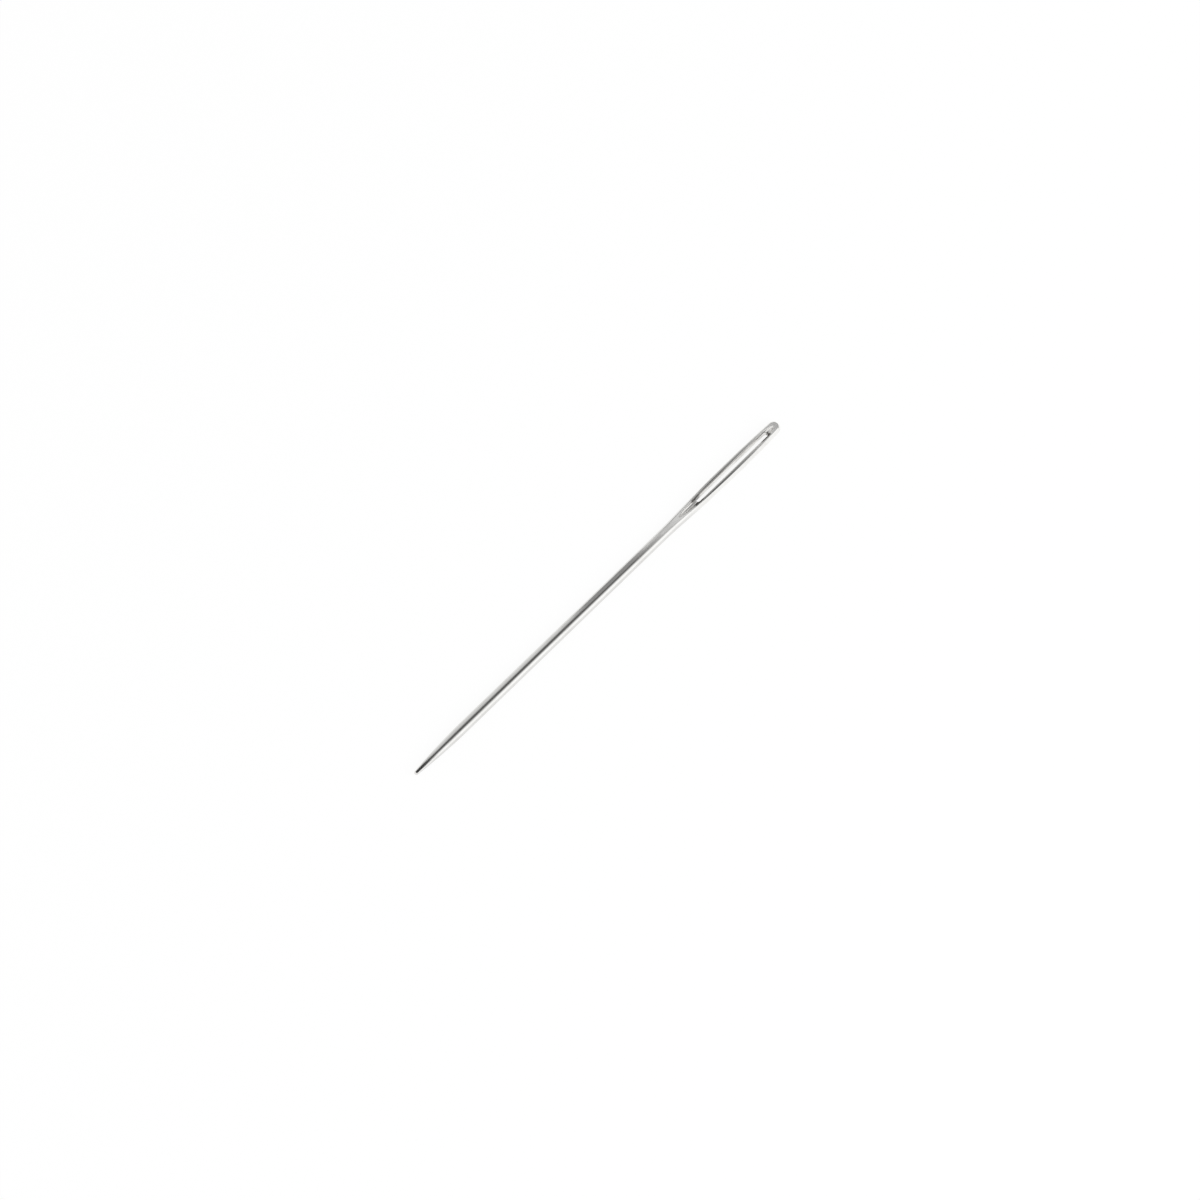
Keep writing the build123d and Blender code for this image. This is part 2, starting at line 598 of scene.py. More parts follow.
@dataclass
class NeedleForm:
    """The needle's mesh: a turned blank that is pressed, grooved and punched.

    Attributes:
        name: Name of the finished piece.
        blank: The turned form.
        press: The press that flattens the eye.
        slot: The slot with its gutters.
        lattice: How finely the surface is divided.
        wall_cuts: Cuts across the slot's wall.
        rim_round: Rounding of the slot's rims.
        weld: Distance within which two vertices are one.
        close: Distance from the finished surface that is near enough.
        feel: Step with which the surface's slope is felt.
        stride: Longest single move towards the surface.
        moves: Greatest number of such moves.
        least_slope: Slope below which a vertex stays where it is.
        core: Half height of the layer that holds the slot's wall and none of the gutters' faces.
    """

    name: str = "yarn_needle"
    blank: TurnedBlank = TurnedBlank()
    press: Press = Press()
    slot: Slot = Slot()
    lattice: Lattice = field(default_factory=Lattice)
    wall_cuts: int = 4
    rim_round: float = 0.045
    weld: float = 1e-4
    close: float = 2e-5
    feel: float = 1e-3
    stride: float = 0.1
    moves: int = 5
    least_slope: float = 0.1
    core: float = 0.1

    def build(self) -> Object:
        """Make the needle.

        Returns:
            The finished object, at the origin, with its place in its mesh.
        """
        bm = bmesh.new()
        self._turn(bm)
        rims = self._open_slot(bm)
        self._shape(bm)
        self._settle(bm, rims)
        self._mark_gutters(bm)
        self._wall_slot(bm, rims)
        bmesh.ops.recalc_face_normals(bm, faces=bm.faces)
        for one in bm.faces:
            one.smooth = True
        bmesh.ops.translate(bm, vec=(0.0, 0.0, self.blank.shank_radius), verts=bm.verts)
        bmesh.ops.scale(bm, vec=(MM, MM, MM), verts=bm.verts)
        piece = stand_mesh(self.name, bm)
        smooth = piece.modifiers.new("smooth", "SUBSURF")
        smooth.levels = smooth.render_levels = 1
        return piece

    def _turn(self, bm: BMesh) -> None:
        """Turn the blank: spin its outline about the needle's axis and close both ends.

        Args:
            bm: The mesh to turn it in.
        """
        outline = [
            bm.verts.new((place, 0.0, self.blank.radius(place)))
            for place in self.lattice.rows(self.blank, self.slot)
        ]
        edges = [bm.edges.new(pair) for pair in zip(outline, outline[1:])]
        bmesh.ops.spin(
            bm,
            geom=[*outline, *edges],
            cent=(0.0, 0.0, 0.0),
            axis=(1.0, 0.0, 0.0),
            angle=2 * math.pi,
            steps=self.lattice.around,
            use_merge=True,
        )
        bmesh.ops.remove_doubles(bm, verts=bm.verts, dist=self.weld)

    def _column(self, vert: BMVert) -> tuple[int, int, int]:
        """Find where a vertex of the blank lies.

        Args:
            vert: The vertex.

        Returns:
            Its column from the middle of the face, its side and its face.
        """
        turned = math.atan2(vert.co.y, vert.co.z)
        column = round(abs(turned) / self.lattice.step)
        side = 1 if turned >= 0.0 else -1
        if column > self.lattice.quarter:
            return 2 * self.lattice.quarter - column, side, -1
        return column, side, 1

    def _open_slot(self, bm: BMesh) -> list[BMEdge]:
        """Take the slot's faces out of the blank, above and below.

        Args:
            bm: The turned blank.

        Returns:
            The edges of the two openings.
        """
        half = self.lattice.slot_columns * self.lattice.step
        gone = []
        for one in bm.faces:
            middle = one.calc_center_median()
            turned = math.atan2(abs(middle.y), abs(middle.z))
            if self.slot.neck < middle.x < self.slot.head and turned < half:
                gone.append(one)
        bmesh.ops.delete(bm, geom=gone, context="FACES")
        return [edge for edge in bm.edges if edge.is_boundary]

    def _bent_place(self, place: float, column: int) -> float:
        """Bend a row near the slot round the slot's end.

        Args:
            place: Place of the row along X.
            column: Column, counted from the middle of the face.

        Returns:
            Where the row lies at that column.
        """
        past, end = self.slot.past(place)
        if past < -SAME:
            return place
        share = min(column, self.lattice.slot_columns) / self.lattice.slot_columns
        drop = self.slot.radius * (1.0 - math.cos(share * self.lattice.end_angle))
        fade = 1.0 - smooth_share(past, 0.0, self.lattice.bend_reach)
        return place - end.value * drop * fade

    def _run(self, place: float, column: int, section: Section, open_row: bool) -> float:
        """Return how far round from the middle of its face a column lies.

        The columns follow the slot's side and the gutter's rim, and are even elsewhere.

        Args:
            place: Place along X.
            column: Column, counted from the middle of the face.
            section: The cross-section there.
            open_row: Whether the row lies between the slot's ends.

        Returns:
            Length along the section's outline.
        """
        plan = self.lattice
        past, end = self.slot.past(place)
        even = section.length * plan.lip_columns / plan.quarter
        leave = plan.leave_rim * self.slot.run(end)
        settled = smooth_share(past, leave, leave + plan.settle[end])
        lip = mix(max(self.slot.rim(place), plan.least_lip), even, settled)
        lip = min(lip, plan.greatest_lip * section.length)
        edge = lip * self.slot.radius * math.sin(plan.end_angle) / self.slot.gutter
        if open_row:
            edge = self.slot.half_width(place)
        if column <= plan.slot_columns:
            turn = column / plan.slot_columns * plan.end_angle
            return edge * math.sin(turn) / math.sin(plan.end_angle)
        if column <= plan.lip_columns:
            share = (column - plan.slot_columns) / (plan.lip_columns - plan.slot_columns)
            return mix(edge, lip, share)
        share = (column - plan.lip_columns) / (plan.quarter - plan.lip_columns)
        return mix(lip, section.length, share)

    def _shape(self, bm: BMesh) -> None:
        """Press the eye flat and roll the gutters into it, vertex by vertex.

        Args:
            bm: The turned blank, with its slot open.
        """
        for vert in bm.verts:
            if math.hypot(vert.co.y, vert.co.z) < SAME:
                continue
            row = vert.co.x
            column, side, face = self._column(vert)
            place = self._bent_place(row, column)
            section = self.press.section(self.blank, place)
            open_row = self.slot.neck - SAME < row < self.slot.head + SAME
            open_row = open_row and column >= self.lattice.slot_columns
            out, height = section.point(self._run(place, column, section, open_row))
            height = min(height, self.slot.floor(section.face, place, out))
            vert.co = Vector((place, side * out, face * height))

    def _crown(self, place: float, out: float) -> float:
        """Return how much the rounding of a rail's top lowers it.

        Args:
            place: Place along X.
            out: Distance from the needle's middle plane.

        Returns:
            The drop at the height of the face.
        """
        past, end = self.slot.past(place)
        run = self.slot.run(end)
        near = 1.0 - smooth_share(abs(past), 0.0, self.press.crest_run)
        rim = self.slot.rim(place)
        flat = self.press.section(self.blank, place).flat
        crest = mix((rim + flat) / 2, rim + self.press.crest_in, near)
        off = max(out, self.slot.radius) - crest
        bend = 2 * mix(*self.press.crown, near) * (1.0 + (off / self.press.reach) ** 2)
        return (1.0 - smooth_share(past, 0.0, run)) * off**2 / bend

    def _depths(self, spot: Vector) -> tuple[float, float, float]:
        """Return how far a point lies outside the pressed form and inside the gutter.

        Args:
            spot: The point, with its height above the needle's axis.

        Returns:
            The distance outside the pressed form, the distance inside the gutter, and the cosine
            of the angle between the gutter's side and the face.
        """
        place, out, height = spot.x, abs(spot.y), abs(spot.z)
        face = self.press.face(self.blank, place)
        reach = max(TINY, math.hypot(out, height))
        outside, level = self.blank.depth(place, reach)
        above = height - face + self._crown(place, out)
        outer = meet(outside, above, self.press.corner, level * height / reach)
        return outer, *self.slot.depth(face, place, out, height)

    def _depth(self, spot: Vector) -> float:
        """Return how far a point lies outside the eye's finished surface."""
        outer, groove, cosine = self._depths(spot)
        return meet(outer, groove, self.slot.gutter_round, cosine)

    def _settle(self, bm: BMesh, rims: list[BMEdge]) -> None:
        """Move the eye's vertices onto its finished surface, whose edges are rounded.

        Args:
            bm: The pressed and grooved needle.
            rims: The edges of the slot's openings, which only move up or down.
        """
        held = {vert for edge in rims for vert in edge.verts}
        quarter: dict[tuple[float, ...], Vector] = {}
        for vert in bm.verts:
            if vert.co.x <= self.blank.neck_start:
                continue
            spot = Vector((vert.co.x, abs(vert.co.y), abs(vert.co.z)))
            key = tuple(round(size, DIGITS) for size in spot)
            if key not in quarter:
                quarter[key] = self._settled(spot, vert in held)
            rest = quarter[key]
            side, face = math.copysign(1.0, vert.co.y), math.copysign(1.0, vert.co.z)
            vert.co = Vector((rest.x, side * rest.y, face * rest.z))

    def _settled(self, spot: Vector, upright: bool) -> Vector:
        """Return the place on the finished surface nearest to a point.

        Args:
            spot: The point, in the quarter where Y and Z aren't below zero.
            upright: Whether it only moves up or down.

        Returns:
            The point on the surface.
        """
        axes = (Vector((1.0, 0.0, 0.0)), Vector((0.0, 1.0, 0.0)), Vector((0.0, 0.0, 1.0)))
        spot = spot.copy()
        for _ in range(self.moves):
            away = self._depth(spot)
            if abs(away) < self.close:
                break
            slope = Vector((0.0, 0.0, 0.0))
            for way in axes[2:] if upright else axes:
                rise = self._depth(spot + way * self.feel) - self._depth(spot - way * self.feel)
                slope += way * (rise / (2 * self.feel))
            if slope.length < self.least_slope:
                break
            move = slope * (away / slope.length_squared)
            spot -= move * min(1.0, self.stride / move.length)
        return spot

    def _mark_gutters(self, bm: BMesh) -> None:
        """Give the gutters' faces the second finish.

        Args:
            bm: The settled needle.
        """
        for one in bm.faces:
            middle = one.calc_center_median()
            if middle.x > self.blank.neck_start and abs(middle.z) > self.core:
                outer, groove, _ = self._depths(middle)
                one.material_index = int(groove > outer)

    def _wall_slot(self, bm: BMesh, rims: list[BMEdge]) -> None:
        """Join the two openings by the slot's wall, and round its rims.

        Args:
            bm: The shaped needle.
            rims: The edges of the two openings.
        """
        upper = [edge for edge in rims if edge.verts[0].co.z > 0.0]
        lower = {vert for edge in rims if edge not in set(upper) for vert in edge.verts}
        drawn = bmesh.ops.extrude_edge_only(bm, edges=upper)["geom"]
        foot = [part for part in drawn if isinstance(part, BMVert)]
        bmesh.ops.scale(bm, vec=(1.0, 1.0, -1.0), verts=foot)
        bmesh.ops.remove_doubles(bm, verts=[*foot, *lower], dist=self.weld)
        wall = [one for one in bm.faces if self._is_wall(one)]
        edges = {edge for one in wall for edge in one.edges}
        upright = [edge for edge in edges if edge.verts[0].co.z * edge.verts[1].co.z < 0.0]
        for one in wall:
            one.material_index = 1
        bmesh.ops.subdivide_edges(bm, edges=upright, cuts=self.wall_cuts, use_grid_fill=True)
        bmesh.ops.bevel(
            bm,
            geom=[edge for edge in edges if edge not in set(upright)],
            offset=self.rim_round,
            offset_type="OFFSET",
            segments=2,
            profile=0.5,
            affect="EDGES",
            clamp_overlap=True,
            material=-1,
        )

    def _is_wall(self, one: BMFace) -> bool:
        """Whether a face reaches from the upper opening to the lower one."""
        heights = [vert.co.z for vert in one.verts]
        return min(heights) < -self.core and max(heights) > self.core


class Surface(Enum):
    """The needle's two kinds of surface, in the order of its material slots."""

    POLISHED = "polished_nickel"
    PRESSED = "pressed_nickel"


@dataclass(frozen=True)
class SteelFinish:
    """A nickel-plated steel surface.

    Attributes:
        surface: Which of the needle's surfaces it is for.
        colour: Colour of the clean plating.
        dull_colour: Colour where it has dulled.
        roughness: Roughness of the clean plating.
        dull_roughness: Roughness where it has dulled.
        grain_depth: Height of the fine lines along the needle, in metres.
        dullness: How much of the surface has dulled, from 0 to 1.
        slot_shade: How dark the painted shade in the slot's corners is, from 0 to 1.
        fineness: How fine the lines are.
    """

    surface: Surface
    colour: Colour
    dull_colour: Colour
    roughness: float
    dull_roughness: float
    grain_depth: float
    dullness: float
    slot_shade: float = 1.0
    fineness: float = 1.0


FINISHES = (
    SteelFinish(
        surface=Surface.POLISHED,
        colour=(0.86, 0.855, 0.84),
        dull_colour=(0.7, 0.69, 0.665),
        roughness=0.13,
        dull_roughness=0.24,
        grain_depth=0.0000012,
        dullness=0.3,
    ),
    SteelFinish(
        surface=Surface.PRESSED,
        colour=(0.84, 0.83, 0.81),
        dull_colour=(0.62, 0.605, 0.575),
        roughness=0.22,
        dull_roughness=0.38,
        grain_depth=0.0000018,
        dullness=0.5,
    ),
)


class Nodes:
    """A small hand for placing and joining shader nodes in one tree."""

    def __init__(self, tree: NodeTree) -> None:
        """Keep the tree and empty it."""
        self.tree = tree
        tree.nodes.clear()

    def add(self, kind: str, **values: object) -> Node:
        """Add a node.

        Args:
            kind: The node's type name.
            values: Properties of the node, by name.

        Returns:
            The new node.
        """
        node = self.tree.nodes.new(kind)
        for name, value in values.items():
            setattr(node, name, value)
        return node

    def join(self, value: object, socket: NodeSocket) -> None:
        """Join an output to an input, or set the input to a value or a colour."""
        if isinstance(value, NodeSocket):
            self.tree.links.new(value, socket)
        else:
            socket.default_value = (*value, 1.0) if socket.type == "RGBA" else value

    def blend(
        self, share: NodeSocket, start: object, stop: object, kind: str = "FLOAT"
    ) -> NodeSocket:
        """Mix two values or colours by a share.

        Args:
            share: Output that gives the share.
            start: Value or output at a share of 0.
            stop: Value or output at a share of 1.
            kind: FLOAT or RGBA.

        Returns:
            The output with the mixed value.
        """
        node = self.add("ShaderNodeMix", data_type=kind)
        inputs = [one for one in node.inputs if one.enabled]
        for value, socket in zip((share, start, stop), inputs):
            self.join(value, socket)
        return next(one for one in node.outputs if one.enabled)

    def cross(self, value: NodeSocket, span: Span, way: str = "LINEAR") -> NodeSocket:
        """Follow a value across a span.

        Args:
            value: Output that gives the value.
            span: Values at which the result is 0 and 1.
            way: How it goes from one to the other.

        Returns:
            The output that goes from 0 to 1.
        """
        node = self.add("ShaderNodeMapRange", interpolation_type=way)
        for given, name in zip((value, *span), ("Value", "From Min", "From Max")):
            self.join(given, node.inputs[name])
        return node.outputs["Result"]

    def ease(self, value: NodeSocket, span: Span) -> NodeSocket:
        """Return an output that eases from 0 to 1 as a value crosses a span."""
        return self.cross(value, span, "SMOOTHSTEP")

    def fade(self, value: NodeSocket, span: Span) -> NodeSocket:
        """Return an output that eases from 1 to 0 as a value crosses a span."""
        return self.math("SUBTRACT", 1.0, self.ease(value, span))

    def math(self, operation: str, first: object, second: object = 0.0) -> NodeSocket:
        """Work out an operation on one or two values or outputs.

        Args:
            operation: Name of the operation.
            first: Value or output.
            second: Value or output, where the operation has a second.

        Returns:
            The output with what it comes to.
        """
        node = self.add("ShaderNodeMath", operation=operation)
        for value, socket in zip((first, second), node.inputs):
            self.join(value, socket)
        return node.outputs[0]

    def product(self, *factors: object) -> NodeSocket:
        """Multiply values or outputs, and return the output."""
        made = factors[0]
        for factor in factors[1:]:
            made = self.math("MULTIPLY", made, factor)
        return made

    def noise(self, place: NodeSocket, **values: object) -> NodeSocket:
        """Add soft noise.

        Args:
            place: Output that gives the place.
            values: Values or outputs for the noise's inputs, by name.

        Returns:
            The output with the noise.
        """
        node = self.add("ShaderNodeTexNoise", noise_dimensions="3D")
        for name, value in {"Vector": place, **values}.items():
            self.join(value, node.inputs[name])
        return node.outputs[0]

    def split(self, place: NodeSocket) -> NodeOutputs:
        """Return the X, Y and Z outputs of a place."""
        node = self.add("ShaderNodeSeparateXYZ")
        self.join(place, node.inputs[0])
        return node.outputs


def plain_material(name: str) -> tuple[Material, Nodes, NodeSocket]:
    """Make an empty material.

    Args:
        name: Its name.

    Returns:
        The material, its nodes and the input that its shader joins.
    """
    material = bpy.data.materials.new(name)
    material.use_nodes = True
    nodes = Nodes(material.node_tree)
    return material, nodes, nodes.add("ShaderNodeOutputMaterial").inputs["Surface"]


class Effect:
    """An effect that both finishes have: a node group with one value in and some values out."""

    NAME: str
    INPUT: str
    OUTPUTS: tuple[str, ...]

    @classmethod
    def group(cls) -> NodeTree:
        """Make the node group on first use.

        Returns:
            The group.
        """
        if cls.NAME in bpy.data.node_groups:
            return bpy.data.node_groups[cls.NAME]
        tree = bpy.data.node_groups.new(cls.NAME, "ShaderNodeTree")
        for name, way in ((cls.INPUT, "INPUT"), *((name, "OUTPUT") for name in cls.OUTPUTS)):
            tree.interface.new_socket(name, in_out=way, socket_type="NodeSocketFloat")
        nodes = Nodes(tree)
        given = nodes.add("NodeGroupInput").outputs[cls.INPUT]
        made = nodes.add("NodeGroupOutput")
        place = nodes.add("ShaderNodeTexCoord").outputs["Object"]
        for name, value in zip(cls.OUTPUTS, cls.fill(nodes, place, given)):
            nodes.join(value, made.inputs[name])
        return tree

    @classmethod
    def fill(cls, nodes: Nodes, place: NodeSocket, given: NodeSocket) -> tuple[NodeSocket, ...]:
        """Add the group's inner nodes.

        Args:
            nodes: The group's nodes.
            place: The place on the needle, in metres.
            given: The value that the group is given.

        Returns:
            The values for the group's outputs, in their order.
        """
        raise NotImplementedError

    @classmethod
    def use(cls, nodes: Nodes, value: float) -> NodeOutputs:
        """Place the effect in a material with its own value, and return its outputs."""
        node = nodes.add("ShaderNodeGroup", node_tree=cls.group())
        nodes.join(value, node.inputs[cls.INPUT])
        return node.outputs


class DrawnGrain(Effect):
    """Fine lines along the needle, left by drawing and polishing the wire.

    Each pattern is noise, stretched along the needle, with its own detail.
    """

    NAME = "drawn_grain"
    INPUT = "Fineness"
    OUTPUTS = ("Lines", "Sweep")
    PATTERNS = (((140.0, 9000.0, 9000.0), 4.0), ((60.0, 900.0, 900.0), 2.0))

    @classmethod
    def fill(cls, nodes: Nodes, place: NodeSocket, given: NodeSocket) -> tuple[NodeSocket, ...]:
        """Add the two patterns."""
        made = []
        for scale, detail in cls.PATTERNS:
            stretch = nodes.add("ShaderNodeMapping")
            nodes.join(place, stretch.inputs["Vector"])
            nodes.join(scale, stretch.inputs["Scale"])
            made.append(nodes.noise(stretch.outputs[0], Scale=given, Detail=detail))
        return tuple(made)


class Dulling(Effect):
    """Soft patches where handling and yarn have dulled the plating."""

    NAME = "dulling"
    INPUT = "Amount"
    OUTPUTS = ("Mask",)
    NOISE = {"Scale": 420.0, "Detail": 6.0, "Roughness": 0.62}
    SPREAD = (0.42, 0.68)

    @classmethod
    def fill(cls, nodes: Nodes, place: NodeSocket, given: NodeSocket) -> tuple[NodeSocket, ...]:
        """Add the patches."""
        patches = nodes.ease(nodes.noise(place, **cls.NOISE), cls.SPREAD)
        return (nodes.product(patches, given),)


class PaintedSlotShade(Effect):
    """Painted shade: a dark colour in the slot's corners, along its lips near its ends and on its
    wall at the head, heavier on one side.

    Places are in metres, along the needle from the slot's middle and across from its own middle.
    A pair of shares is for the half of the slot towards the shank and the half towards the head.
    """

    NAME = "painted_slot_shade"
    INPUT = "Amount"
    OUTPUTS = ("Mask",)
    # Colour of the painted shade in the slot's corners and on its wall.
    COLOUR = (0.13, 0.125, 0.115)
    MIDDLE = 0.0259
    HALVES = (-0.0024, 0.0026)
    SIDES = (-0.0001, 0.0001)
    TOWARDS_NECK = 0.0003
    END_STARTS = (0.0054, 0.0060)
    END_FADES = (0.0070, 0.0074)
    TOWARDS_RIGHT = 0.00004
    LIP_STARTS = (0.00038, 0.00044)
    CORNER_STARTS = (0.00012, 0.00030)
    CORNER_FADES = (0.00047, 0.00058)
    LEFT_LIP = (0.6, 0.1)
    LEFT_CORNER = (0.85, 0.1)
    WALL_STARTS = (0.0065, 0.0067)
    WALL_FADES = (0.0070, 0.0072)
    WALL_SIDES = (0.00005, 0.00025)
    WALL_SHARE = 0.9

    @classmethod
    def fill(cls, nodes: Nodes, place: NodeSocket, given: NodeSocket) -> tuple[NodeSocket, ...]:
        """Add the painted shade along the slot's lips, in its corners and on its wall at the head.

        Args:
            nodes: The group's nodes.
            place: The place on the needle, in metres.
            given: How dark the painted shade is.

        Returns:
            The mask.
        """
        split = nodes.split(place)
        along = nodes.math("SUBTRACT", split["X"], cls.MIDDLE)
        past = nodes.math("ABSOLUTE", nodes.math("ADD", along, cls.TOWARDS_NECK))
        aside = nodes.math("ABSOLUTE", nodes.math("ADD", split["Y"], cls.TOWARDS_RIGHT))
        half, left = nodes.ease(along, cls.HALVES), nodes.ease(split["Y"], cls.SIDES)
        fades = nodes.fade(aside, cls.CORNER_FADES)
        lip = nodes.product(
            nodes.blend(left, 0.0, nodes.blend(half, *cls.LEFT_LIP)),
            nodes.ease(aside, cls.LIP_STARTS),
        )
        corner = nodes.product(
            nodes.blend(left, 1.0, nodes.blend(half, *cls.LEFT_CORNER)),
            nodes.ease(aside, cls.CORNER_STARTS),
        )
        share = nodes.product(
            nodes.blend(nodes.ease(past, cls.END_STARTS), lip, corner),
            nodes.fade(past, cls.END_FADES),
            fades,
        )
        wall = nodes.product(
            nodes.ease(along, cls.WALL_STARTS),
            cls.WALL_SHARE,
            nodes.fade(along, cls.WALL_FADES),
            nodes.fade(split["Y"], cls.WALL_SIDES),
            fades,
        )
        return (nodes.product(nodes.math("MAXIMUM", share, wall), given),)


class PlatedSteel:
    """The needle's nickel-plated steel, in one of its finishes."""

    WEAR = 2.0
    LINE_SHARE = 0.5

    def __init__(self, finish: SteelFinish) -> None:
        """Keep the finish."""
        self.finish = finish

    def material(self) -> Material:
        """Make the material.

        Returns:
            A metal with grain along the needle, dull patches and painted shade in the slot's
            corners.
        """
        finish = self.finish
        material, nodes, out = plain_material(finish.surface.value)
        steel = nodes.add("ShaderNodeBsdfPrincipled")
        nodes.join(1.0, steel.inputs["Metallic"])
        nodes.join(steel.outputs[0], out)
        grain = DrawnGrain.use(nodes, finish.fineness)
        dull = Dulling.use(nodes, finish.dullness)["Mask"]
        # Painted shade: the colour darkens in the slot's corners, along its lips and on its wall at
        # the head.
        slot_shade = PaintedSlotShade.use(nodes, finish.slot_shade)["Mask"]
        worn = nodes.product(dull, grain["Sweep"], self.WEAR)
        tint = nodes.blend(worn, finish.colour, finish.dull_colour, "RGBA")
        tint = nodes.blend(slot_shade, tint, PaintedSlotShade.COLOUR, "RGBA")
        nodes.join(tint, steel.inputs["Base Color"])
        rough = nodes.math("ADD", worn, nodes.product(grain["Lines"], self.LINE_SHARE))
        rough = nodes.blend(rough, finish.roughness, finish.dull_roughness)
        nodes.join(rough, steel.inputs["Roughness"])
        bump = nodes.add("ShaderNodeBump")
        nodes.join(1.0, bump.inputs["Strength"])
        nodes.join(finish.grain_depth, bump.inputs["Distance"])
        nodes.join(grain["Lines"], bump.inputs["Height"])
        nodes.join(bump.outputs["Normal"], steel.inputs["Normal"])
        return material


@dataclass(frozen=True)
class Tent:
    """The pale light tent round the needle, with the dark gap that the camera looks through.

    Attributes:
        bands: Angle about the needle from straight up, in degrees, towards +Y, and the tent's
            brightness there, in rising order, as far along as the gap reaches.
        stretch: How far a direction leans towards +X, from -1 to 1, and the share of the bands
            there, in rising order; the rest is the plain cloth.
        cloth: Brightness of the tent's cloth past the gap.
        plain: Brightness for soft light on other things.
        grey_end: Brightness of the tent's end past the head.
        grey_lean: Lean towards +X at which the grey end starts, and at which it is full.
    """

    bands: tuple[Span, ...] = (
        *((-90.0, 1.0), (-75.0, 1.16), (-58.0, 1.16), (-46.0, 1.04), (-30.0, 0.52)),
        *((-20.0, 0.22), (-12.0, 0.085), (13.0, 0.085), (26.0, 0.38)),
        *((38.0, 0.59), (60.0, 0.72), (90.0, 0.7)),
    )
    stretch: tuple[Span, ...] = ((-0.1, 0.0), (0.1, 1.0), (0.42, 1.0), (0.56, 0.0))
    cloth: float = 1.0
    plain: float = 0.68
    grey_end: float = 0.16
    grey_lean: Span = (0.6, 0.75)

    def build(self) -> None:
        """Make the world."""
        world = bpy.data.worlds.new("light_tent")
        bpy.context.scene.world = world
        world.use_nodes = True
        nodes = Nodes(world.node_tree)
        out = nodes.add("ShaderNodeOutputWorld")
        sky = nodes.add("ShaderNodeBackground")
        nodes.join((1.0, 1.0, 1.0), sky.inputs["Color"])
        nodes.join(sky.outputs[0], out.inputs["Surface"])
        split = nodes.split(nodes.add("ShaderNodeTexCoord").outputs["Generated"])
        angle = nodes.math("ARCTAN2", split["Y"], split["Z"])
        places = [(math.radians(degrees), level) for degrees, level in self.bands]
        gap = self._ramp(nodes, angle, (places[0][0], places[-1][0]), places)
        share = self._ramp(nodes, split["X"], (-1.0, 1.0), self.stretch)
        level = nodes.blend(share, self.cloth, gap)
        level = nodes.blend(nodes.ease(split["X"], self.grey_lean), level, self.grey_end)
        path = nodes.add("ShaderNodeLightPath")
        seen = nodes.blend(path.outputs["Is Glossy Ray"], self.plain, level)
        seen = nodes.blend(path.outputs["Is Camera Ray"], seen, 1.0)
        nodes.join(seen, sky.inputs["Strength"])

    @staticmethod
    def _ramp(nodes: Nodes, value: NodeSocket, span: Span, places: Sequence[Span]) -> NodeSocket:
        """Turn a value into a brightness by a ramp.

        Args:
            nodes: The tree's nodes.
            value: The output that gives the value.
            span: The least and greatest value that the ramp holds.
            places: Values with their brightness, in rising order.

        Returns:
            The output with the brightness.
        """
        low, high = span
        ramp = nodes.add("ShaderNodeValToRGB")
        while len(ramp.color_ramp.elements) < len(places):
            ramp.color_ramp.elements.new(1.0)
        top = max(level for _, level in places)
        for element, (place, level) in zip(ramp.color_ramp.elements, places):
            element.position = (place - low) / (high - low)
            element.color = (*(level / top,) * 3, 1.0)
        nodes.join(nodes.cross(value, span), ramp.inputs[0])
        return nodes.math("MULTIPLY", ramp.outputs[0], top)


@dataclass(frozen=True)
class Card:
    """A curved card beside the needle, which only its steel shows.

    Attributes:
        name: Its name.
        turn: Where it starts and ends about the needle, in degrees from straight up.
        along: Where it starts and ends along X, in metres.
        level: Its brightness.
        reach: Its distance from the needle, in metres.
        steps: Faces round its curve.
    """

    name: str
    turn: Span
    along: Span
    level: float
    reach: float = 0.04
    steps: int = 24

    def build(self) -> Object:
        """Make the card and mark it as stage."""
        first, last = (math.radians(angle) for angle in self.turn)
        bm = bmesh.new()
        ends = [
            bm.verts.new((x, self.reach * math.sin(first), self.reach * math.cos(first)))
            for x in self.along
        ]
        edge = bm.edges.new(ends)
        bmesh.ops.spin(
            bm,
            geom=[*ends, edge],
            cent=(0.0, 0.0, 0.0),
            axis=(-1.0, 0.0, 0.0),
            angle=last - first,
            steps=self.steps,
        )
        card = stand_mesh(self.name, bm)
        card.data.materials.append(self._material())
        card.visible_camera = card.visible_diffuse = card.visible_shadow = False
        card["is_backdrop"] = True
        return card

    def _material(self) -> Material:
        """Make the card's plain glow."""
        material, nodes, out = plain_material(self.name)
        glow = nodes.add("ShaderNodeEmission")
        nodes.join(self.level, glow.inputs["Strength"])
        nodes.join(glow.outputs[0], out)
        return material


CARDS = (
    Card(name="black_card", turn=(-60.0, 60.0), along=(-0.05, -0.0285), level=0.03),
    Card(name="grey_card", turn=(5.0, 85.0), along=(0.007, 0.020), level=0.26),
    Card(name="dusky_card", turn=(-22.0, 28.0), along=(0.0203, 0.0242), level=0.42),
    Card(name="soft_card", turn=(-40.0, 60.0), along=(0.0242, 0.0262), level=0.62),
    Card(name="pale_card", turn=(-50.0, 60.0), along=(0.0262, 0.0295), level=0.85),
    Card(name="neck_card", turn=(50.0, 88.0), along=(0.0240, 0.0345), level=0.2, reach=0.039),
    Card(name="eye_card", turn=(-20.0, 28.0), along=(0.0375, 0.0432), level=0.26),
    Card(name="head_card", turn=(-30.0, 38.0), along=(0.0432, 0.0451), level=0.95),
    Card(name="end_card", turn=(-30.0, 38.0), along=(0.0451, 0.06), level=0.42),
)


